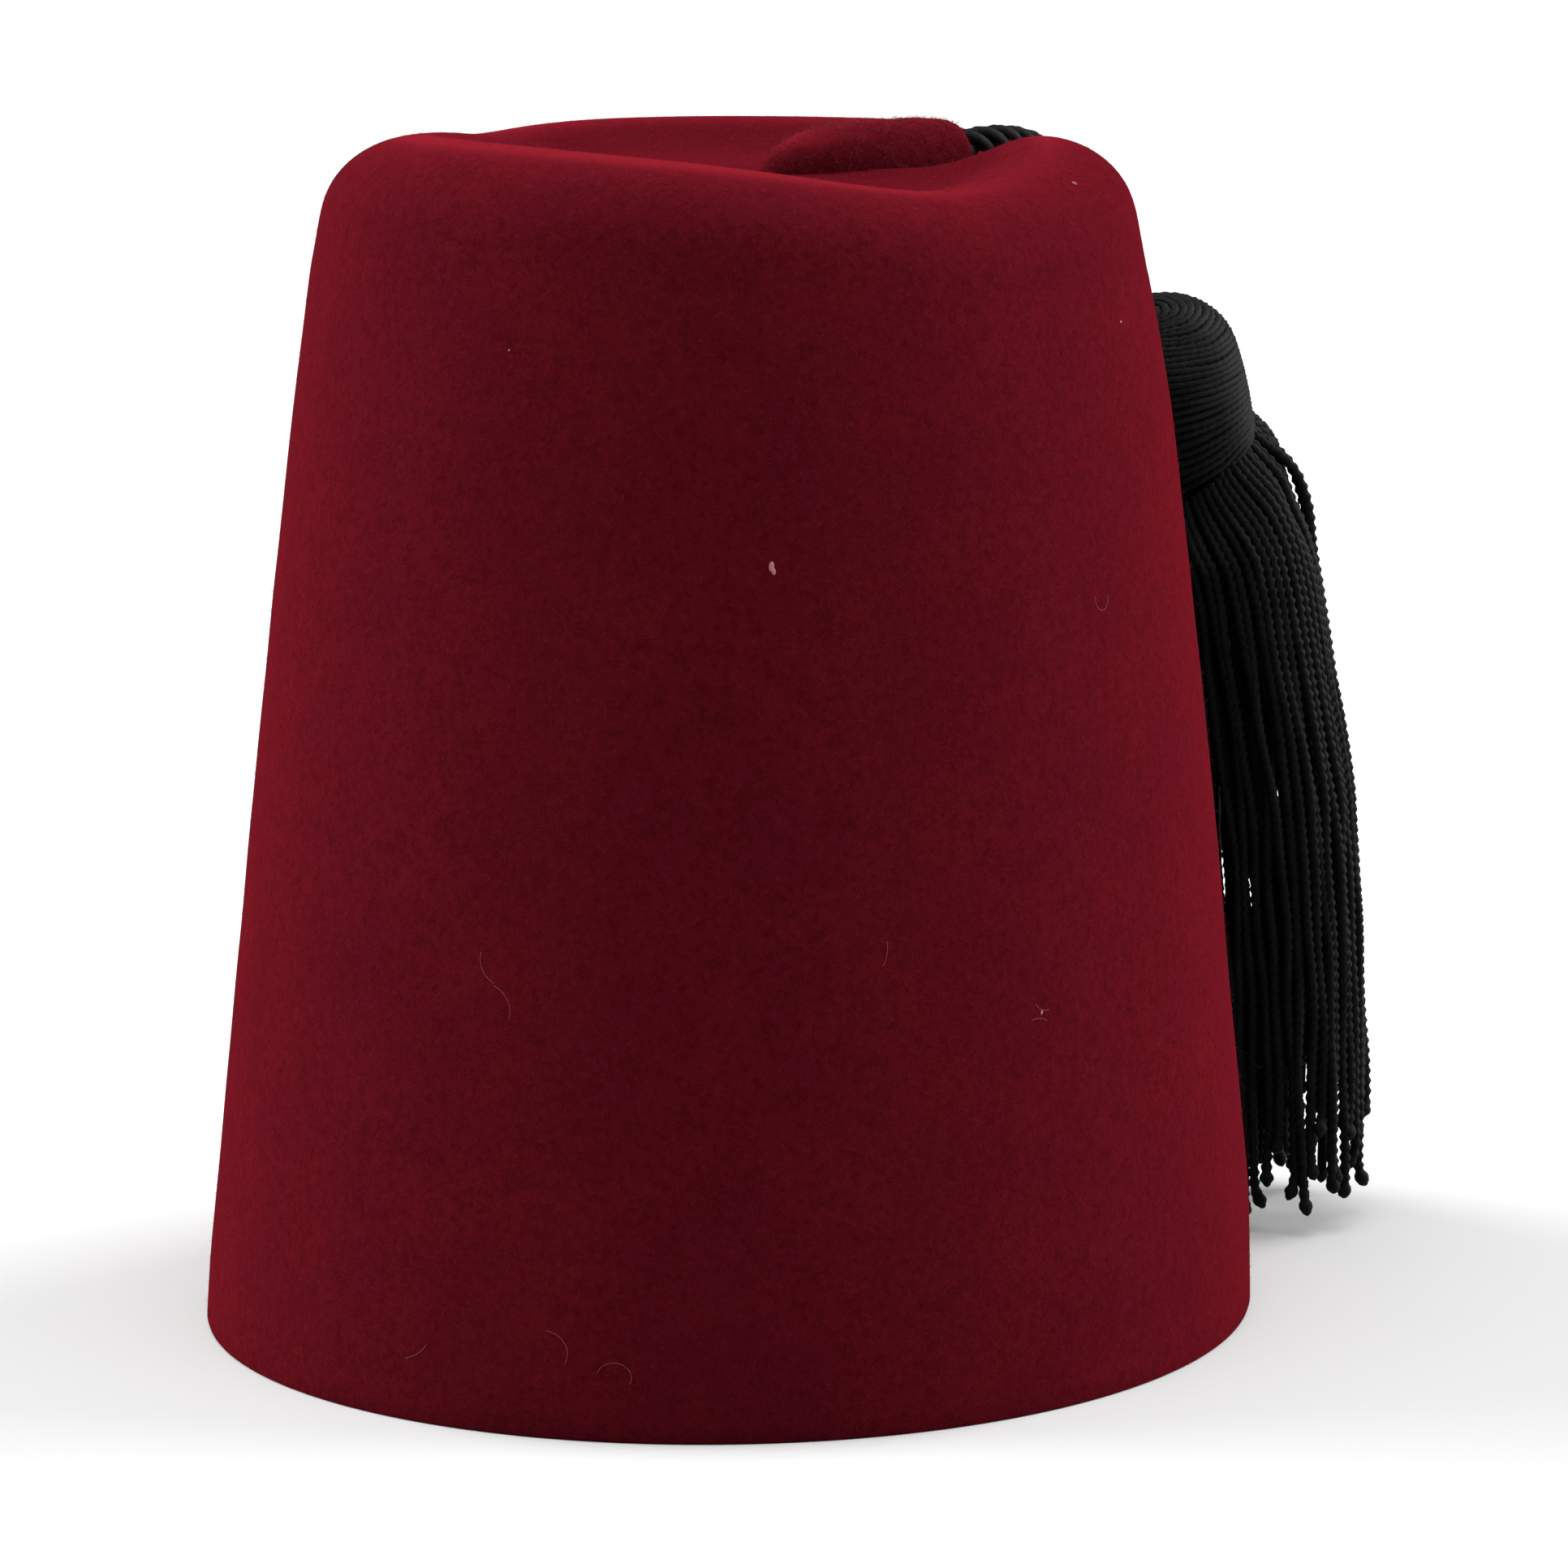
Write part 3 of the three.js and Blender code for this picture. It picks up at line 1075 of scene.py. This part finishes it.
@dataclass
class TasselCord:
    """The three-ply cord from the fold's end, over the crown's edge and down to the tassel's head."""

    radius: float = 2.4
    lay_length: float = 12.0
    plies: int = 3
    steps: int = 150
    route: tuple[tuple[float, float, float], ...] = (
        (27.5, 26.2, 192.0),
        (31.0, 29.4, 192.3),
        (34.3, 33.1, 192.7),
        (37.1, 37.1, 192.8),
        (39.6, 41.4, 192.2),
        (41.9, 45.7, 190.7),
        (44.1, 49.5, 188.4),
        (46.3, 52.6, 185.2),
        (48.4, 54.6, 181.1),
        (50.6, 56.1, 176.7),
        (52.8, 57.4, 172.2),
        (54.8, 59.2, 167.8),
        (56.8, 61.3, 163.2),
    )

    def line(self) -> np.ndarray:
        """Draws a smooth line through the route's points.

        Returns:
            Evenly spaced points in millimetres.
        """
        points = np.array([self.route[0], *self.route, self.route[-1]])
        points[0] += self.route[0] - points[2]
        points[-1] += self.route[-1] - points[-3]
        bends = []
        for before, start, end, after in zip(points, points[1:], points[2:], points[3:]):
            t = np.linspace(0, 1, 20, endpoint=False)[:, None]
            square, cube = 2 * before - 5 * start + 4 * end - after, 3 * start - before - 3 * end + after
            bends.append(0.5 * (2 * start + (end - before) * t + square * t ** 2 + cube * t ** 3))
        line = np.concatenate([*bends, points[-2:-1]])
        return read_along(line, np.linspace(0, distances(line)[-1], self.steps + 1))

    def build(self, yarn: bpy.types.Material) -> bpy.types.Object:
        """Lays the plies round the cord's line.

        Args:
            yarn: Its finish.

        Returns:
            The piece.
        """
        line = self.line()
        along = unit_rows(np.gradient(line, axis=0))
        side = unit_rows(np.cross(along, np.array([[0.7, -0.7, 0.1]])))
        other = np.cross(along, side)
        ply = self.radius / (1 + 2 / math.sqrt(3))
        reach = self.radius - ply
        turn = distances(line) * math.tau / self.lay_length
        plies = []
        for index in range(self.plies):
            angle = turn + index * math.tau / self.plies
            plies.append(line + reach * (np.cos(angle)[:, None] * side + np.sin(angle)[:, None] * other))
        lines = np.stack(plies)
        thread = Thread(radius=ply * 1.05, lobe=0.07, pitch=4.6, plies=3, sides=12)
        mesh = thread.sweep("cord_twist", lines, lines - line[None] + 1e-9, np.ones(lines.shape[:2]),
                            np.zeros(self.plies))
        keep_facing_out(mesh)
        return add_piece("cord_twist", mesh, yarn, ["tassel_cord"])

    def declare(self) -> None:
        """Works out the cord's line in metres and its diameter, and uses neither.
        """
        line = self.line() * MM
        2 * self.radius * MM


# The head leans along this axis, and its winding reaches SAG millimetres further down on the SAG_SIDE.
HEAD_AXIS = (-0.102, -0.537, 0.839)
SAG = 4.2
SAG_SIDE = (-0.51, -0.85, 0.0)


@dataclass
class TasselHead:
    """The domed head: a solid core with a thread wound round it."""

    centre: tuple[float, float, float] = (59.6, 66.7, 152.4)
    dome_radius: float = 12.0
    neck_radius: float = 13.0
    length: float = 17.5
    thread_radius: float = 0.68
    winding: float = 1.2
    steps: int = 3600
    core_segments: int = 48
    fullness: float = 1.4
    flatness: float = 0.6
    squareness: float = 0.86
    level_share: float = 0.62

    def frame(self) -> tuple[np.ndarray, np.ndarray, np.ndarray]:
        """Gives the head's own axes.

        Returns:
            Two directions across it and the one towards its top.
        """
        up = unit_rows(np.array(HEAD_AXIS))
        across = unit_rows(np.cross(up, [0.0, 0.0, 1.0]))
        return across, np.cross(up, across), up

    def profile(self, travelled: np.ndarray, inset: float) -> tuple[np.ndarray, np.ndarray]:
        """Gives the head's outline.

        Args:
            travelled: Distances along it, from its lower edge up and over the dome.
            inset: How far inside the outline to stay.

        Returns:
            Radius and height above the dome's middle.
        """
        side = np.clip(travelled / self.length, 0, 1)
        angle = np.clip((travelled - self.length) / self.dome_radius, 0, math.pi / 2)
        belly = self.fullness * np.sin(np.pi * np.clip(travelled / (self.length * 1.9), 0, 1))
        radius = self.neck_radius + (self.dome_radius - self.neck_radius) * side + belly - inset
        height = (self.dome_radius - self.flatness - inset) * np.sin(angle) ** (0.5 + self.squareness / 2)
        return (radius * np.cos(angle) ** self.squareness,
                np.where(travelled < self.length, travelled - self.length, height))

    def build(self, yarn: bpy.types.Material) -> bpy.types.Object:
        """Winds the thread round the core.

        Args:
            yarn: Its finish.

        Returns:
            The piece.
        """
        across, other, up = self.frame()
        over = self.length + self.dome_radius * math.pi / 2
        radii, heights = self.profile(np.linspace(0, over, 30), self.thread_radius)
        core = [(0.0, float(heights[0])), *zip(radii.tolist(), heights.tolist())]
        shape = spun(core, self.core_segments, 1e-4)
        turned = Matrix([*zip(across, other, up, self.centre), (0, 0, 0, 1)])
        bmesh.ops.transform(shape, matrix=Matrix.Scale(MM, 4) @ turned, verts=shape.verts[:])

        turns = over / self.winding
        angle = np.linspace(0, turns * math.tau, 60 * int(turns))
        around = np.cos(angle)[:, None] * across + np.sin(angle)[:, None] * other
        along = angle / math.tau * self.winding
        wobble = np.array([noise.noise(Vector((math.cos(a) * 2, math.sin(a) * 2, a / 9))) for a in angle])
        level = -self.level_share * self.neck_radius * around[:, 2] / up[2] * np.sin(np.pi * along / over)
        droop = SAG * np.clip(around @ np.array(SAG_SIDE), 0, 1) * ease(-along, -14, 0)
        radius, height = self.profile(np.clip(along + wobble * 0.45 + level - droop, -SAG, over - 0.9),
                                      self.thread_radius * 0.8)
        loose = np.stack([radius * np.cos(angle), radius * np.sin(angle), height], axis=1)
        local = read_along(loose, np.linspace(0, distances(loose)[-1], self.steps + 1))
        basis = np.stack([across, other, up])
        line = local @ basis + np.array(self.centre)
        outward = (local * np.array([1, 1, 0.3])) @ basis
        thread = Thread(radius=self.thread_radius, lobe=0.2, pitch=3.4)
        mesh = thread.sweep("winding", line[None], outward[None], np.ones((1, len(line))), np.zeros(1))
        keep_facing_out(mesh)
        shape.from_mesh(mesh)
        bpy.data.meshes.remove(mesh)
        wound = mesh_from("tassel_winding", shape)
        return add_piece("tassel_winding", wound, yarn, ["tassel_head"])


@dataclass(frozen=True)
class SkirtRow:
    """A section of the skirt: how far out its middle is, its half sizes, and its share of the lean."""

    height: float
    out: float
    deep: float
    wide: float
    tilt: float


@dataclass
class TasselSkirt:
    """The tassel's twisted strands, which bulge out under the head and then hang."""

    azimuth: float = 50.5
    top: float = 138.6
    strand_radius: float = 0.86
    strand_length: float = 132.0
    sway_reach: float = 0.32
    lobe: float = 0.23
    pitch: float = 3.7
    outer_count: int = 64
    outer_steps: int = 330
    inner_steps: int = 70
    tip: float = 0.022
    outermost: float = -44.0
    seed: int = 23
    rows: tuple[SkirtRow, ...] = (
        SkirtRow(139, 97.6, 11.0, 11.0, 1.0),
        SkirtRow(137, 98.4, 12.4, 12.4, 1.0),
        SkirtRow(132.5, 99.6, 15.8, 19.4, 0.85),
        SkirtRow(125, 100.8, 16.9, 22.6, 0.5),
        SkirtRow(114, 102.4, 17.6, 24.1, 0.2),
        SkirtRow(100, 104.2, 18.0, 25.2, 0.0),
        SkirtRow(78, 107, 18.8, 27.9, 0.0),
        SkirtRow(55, 109.2, 18.8, 28.1, 0.0),
        SkirtRow(30, 111, 18.4, 28.2, 0.0),
        SkirtRow(0, 112.6, 17.4, 27.8, 0.0),
    )
    rings: dict[float, int] = field(default_factory=lambda: {0.84: 36, 0.64: 24, 0.4: 11})

    def smooth_rows(self, heights: np.ndarray) -> dict[str, np.ndarray]:
        """Reads the rows between their heights, with their corners eased.

        Args:
            heights: The heights wanted.

        Returns:
            Each column at those heights.
        """
        grid = np.arange(-15, 155, 0.5)
        table = sorted(self.rows, key=lambda row: row.height)
        known = [row.height for row in table]
        window = np.hanning(15)
        window /= window.sum()
        columns = {}
        for name in ("out", "deep", "wide", "tilt"):
            straight = np.interp(grid, known, [getattr(row, name) for row in table])
            columns[name] = np.interp(heights, grid, np.convolve(straight, window, "same"))
        return columns

    def apart(self, angles: np.ndarray) -> np.ndarray:
        """Gives how many degrees each angle, in radians, is from the outermost strand's."""
        return np.abs((np.degrees(angles) - self.outermost + 180) % 360 - 180)

    def shares(self, steps: int) -> np.ndarray:
        """Spaces a strand's points along it, closest at its end.

        Args:
            steps: How many lengths it is cut into.

        Returns:
            The share of the way down at each point.
        """
        fine = 1 - self.tip * np.linspace(0.9, 0, 10)
        return np.concatenate([np.linspace(0, 1 - self.tip, steps - 9), fine])

    def lines(self, angles: np.ndarray, ring: np.ndarray, ends: np.ndarray, steps: int, loose: np.ndarray,
              rng: np.random.Generator) -> tuple[np.ndarray, np.ndarray]:
        """Draws the strands' centrelines.

        Args:
            angles: Where round the skirt each strand is, in radians.
            ring: Each strand's share of the section's half size.
            ends: The height at which each strand ends.
            steps: How many lengths each is cut into.
            loose: How far each strand strays outwards near its top, in millimetres.
            rng: The random source.

        Returns:
            The lines, and a direction across each.
        """
        count = len(angles)
        share = self.shares(steps)
        height = self.top + (ends[:, None] - self.top) * share[None]
        columns = self.smooth_rows(height)
        fall = 1 - height / self.top
        stray = np.zeros((count, steps + 1))
        sway = np.zeros((count, steps + 1))
        for waves, size in ((1.1, 1.0), (2.6, 0.55), (5.5, 0.24)):
            stray += size * np.sin(waves * math.tau * fall + rng.uniform(0, math.tau, (count, 1)))
            sway += size * np.sin(waves * math.tau * fall + rng.uniform(0, math.tau, (count, 1)))
        grow = ease(fall, 0.02, 0.5)
        bulge = loose[:, None] * np.exp(-(((fall - 0.07) / 0.05) ** 2))
        apart = self.apart(angles)
        spread = 1.5 * np.exp(-((apart / 3.5) ** 2)) - 1.3 * np.exp(-(((apart - 11) / 6) ** 2))
        bulge += spread[:, None] * ease(fall, 0.6, 0.85)
        deep = columns["deep"] * ring[:, None] - self.strand_radius + stray * self.sway_reach * grow + bulge
        wide = columns["wide"] * ring[:, None] - self.strand_radius + stray * self.sway_reach * grow + bulge
        across = angles[:, None] + sway * 0.8 * grow / 24
        outwards, sideways = deep * np.cos(across), wide * np.sin(across)
        curl = np.clip((share[None] - 0.96) / 0.04, 0, 1) ** 2
        outwards = outwards + curl * rng.normal(0, 1.0, (count, 1))
        sideways = sideways + curl * rng.normal(0, 1.0, (count, 1))
        turn = math.radians(self.azimuth)
        dx = outwards * math.cos(turn) - sideways * math.sin(turn)
        dy = outwards * math.sin(turn) + sideways * math.cos(turn)
        axis = unit_rows(np.array(HEAD_AXIS))
        facing = np.clip(np.cos(turn + angles) * SAG_SIDE[0] + np.sin(turn + angles) * SAG_SIDE[1], 0, 1)
        z = height - columns["tilt"] * (axis[0] * dx + axis[1] * dy) / axis[2]
        z -= SAG * facing[:, None] * np.exp(-((fall / 0.12) ** 2))
        out = columns["out"]
        lines = np.stack([out * math.cos(turn) + dx, out * math.sin(turn) + dy, z], axis=2)
        level = turn + angles
        edge = np.stack([-np.sin(level), np.cos(level), np.zeros(count)], axis=1)
        return lines, np.repeat(edge[:, None], steps + 1, axis=1)

    def thickness(self, count: int, steps: int) -> np.ndarray:
        """Thickens each strand at its knotted end and closes its tip.

        Args:
            count: How many strands there are.
            steps: How many lengths each is cut into.

        Returns:
            The share of the radius at each point.
        """
        left = (1 - self.shares(steps)) * self.strand_length
        knot = 1 + 0.5 * np.exp(-(((left - 1.5) / 0.9) ** 2))
        tip = np.sqrt(np.clip(1 - (1 - np.clip(left / 1.4, 0, 1)) ** 2, 0.01, 1))
        return np.repeat((knot * tip)[None], count, axis=0)

    def build(self, yarn: bpy.types.Material) -> list[bpy.types.Object]:
        """Hangs the strands.

        Args:
            yarn: Their finish.

        Returns:
            The pieces.
        """
        rng = np.random.default_rng(self.seed)
        count = self.outer_count
        angles = (np.arange(count) + rng.uniform(-0.22, 0.22, count)) / count * math.tau
        ends = 2.6 + 17 * rng.random(count) ** 1.8
        loose = np.where(rng.random(count) < 0.2, rng.uniform(0.3, 1.0, count), 0.0)
        apart = self.apart(angles)
        loose += 1.4 * np.exp(-((apart / 3.5) ** 2)) - 2.4 * np.exp(-(((apart - 15) / 9) ** 2))
        order = np.argsort(apart)
        ends += 12.0 * np.exp(-(((apart - 20) / 14) ** 2))
        ends[order[:3]] = (18.0, 5.0, 22.0)
        lines, edge = self.lines(angles, np.ones(count), ends, self.outer_steps, loose, rng)
        thick = self.thickness(count, self.outer_steps)
        thread = Thread(radius=self.strand_radius, lobe=self.lobe, pitch=self.pitch, sides=8)
        phase = rng.uniform(0, math.tau, count)
        pieces = []
        third = count // 3 + 1
        for index in range(3):
            part = slice(index * third, (index + 1) * third)
            name = f"tassel_strands_{index + 1}"
            mesh = thread.sweep(name, lines[part], edge[part], thick[part], phase[part])
            keep_facing_out(mesh)
            stands_for = ["tassel_skirt"] if index == 0 else []
            pieces.append(add_piece(name, mesh, yarn, stands_for))
        inner_angles, inner_ring = [], []
        for ring, number in self.rings.items():
            inner_angles.append((np.arange(number) + rng.uniform(-0.3, 0.3, number)) / number * math.tau)
            inner_ring.append(np.full(number, ring))
        inner_angles, inner_ring = np.concatenate(inner_angles), np.concatenate(inner_ring)
        number = len(inner_angles)
        inner_ends = 4 + 34 * rng.random(number) ** 1.7
        inner_ends += 18.0 * np.exp(-((self.apart(inner_angles) / 34) ** 2))
        lines, edge = self.lines(inner_angles, inner_ring, inner_ends, self.inner_steps, np.zeros(number),
                                 rng)
        plain = Thread(radius=self.strand_radius, lobe=0.12, pitch=14.0, sides=5)
        thick = self.thickness(number, self.inner_steps)
        mesh = plain.sweep("tassel_core_strands", lines, edge, thick, rng.uniform(0, math.tau, number))
        keep_facing_out(mesh)
        pieces.append(add_piece("tassel_core_strands", mesh, yarn))
        return pieces


# ---- Studio ----


@dataclass(frozen=True)
class SoftLight:
    """A broad, distant light: where it stands, how wide it looks in degrees, and its strength."""

    name: str
    azimuth: float
    elevation: float
    breadth: float
    strength: float

    def build(self) -> None:
        """Hangs the light."""
        lamp = bpy.data.lights.new(self.name, "SUN")
        lamp.angle = math.radians(self.breadth)
        lamp.energy = self.strength
        holder = link(self.name, lamp)
        across, up = math.radians(self.azimuth), math.radians(self.elevation)
        place = Vector((math.cos(across) * math.cos(up), math.sin(across) * math.cos(up), math.sin(up)))
        holder.location = place * 2
        holder.rotation_euler = place.to_track_quat("Z", "Y").to_euler()


@dataclass
class Studio:
    """A plain pale floor, soft lights from above and both sides, and the camera."""

    camera_place: tuple[float, float, float] = (0.2747, -1.0652, 0.272)
    azimuth: float = 14.0
    pitch: float = 9.52
    lens: float = 153.78
    floor_size: float = 60.0
    floor_tone: float = 0.42
    ambient: float = 0.05
    lights: tuple[SoftLight, ...] = (
        SoftLight("top_light", -76.0, 80.0, 55.0, 3.6),
        SoftLight("left_light", 176.0, 26.0, 55.0, 6.3),
        SoftLight("right_light", 33.0, 26.0, 55.0, 6.0),
    )

    def aim_camera(self) -> None:
        """Sets up the camera."""
        data = bpy.data.cameras.new("camera")
        data.lens = self.lens
        data.sensor_width = 36.0
        data.clip_start, data.clip_end = 0.05, 90.0
        camera = link("camera", data)
        camera.location = self.camera_place
        camera.rotation_euler = (math.radians(90 - self.pitch), 0, math.radians(self.azimuth))
        bpy.context.scene.camera = camera

    def build(self) -> None:
        """Lays the floor and hangs the lights."""
        shape = bmesh.new()
        bmesh.ops.create_grid(shape, x_segments=1, y_segments=1, size=self.floor_size / 2)
        mesh = mesh_from("floor", shape)
        tone = self.floor_tone
        mesh.materials.append(PlainFinish("pale_floor", (tone, tone, tone, 1.0)).material())
        floor = link("floor", mesh)
        for light in self.lights:
            light.build()
        world = bpy.data.worlds.new("studio")
        bpy.context.scene.world = world
        world.use_nodes = True
        world.node_tree.nodes["Background"].inputs["Color"].default_value = (1, 1, 1, 1)
        world.node_tree.nodes["Background"].inputs["Strength"].default_value = self.ambient
        bpy.context.scene.view_settings.view_transform = "Standard"
        bpy.context.scene.view_settings.look = "None"


def main() -> None:
    """Builds the hat and its studio, and logs each piece's triangle count."""
    logging.basicConfig(level=logging.INFO, format="%(message)s", stream=sys.stdout)
    studio = Studio()
    studio.aim_camera()
    yarn = YarnFinish("black_yarn").material()
    wound = YarnFinish("black_winding", deep=srgb(15, 15, 16), pale=srgb(28, 28, 30)).material()
    cord = TasselCord()
    cord_piece = cord.build(wound)
    head_piece = TasselHead().build(wound)
    cord.declare()
    TasselSkirt().build(yarn)
    felt = FeltFinish().material()
    cap = FeltCap().build(felt)
    fold = CrownFold().build(felt, cap)
    nap = FeltNap()
    over = [(cap, nap.count, nap.longest), (fold, nap.fold_count, nap.fold_longest)]
    nap.build(over, NapFinish().material())
    Lint().build(cap, PlainFinish("pale_lint", srgb(150, 92, 94), roughness=0.8).material())
    studio.build()


if __name__ == "__main__":
    main()
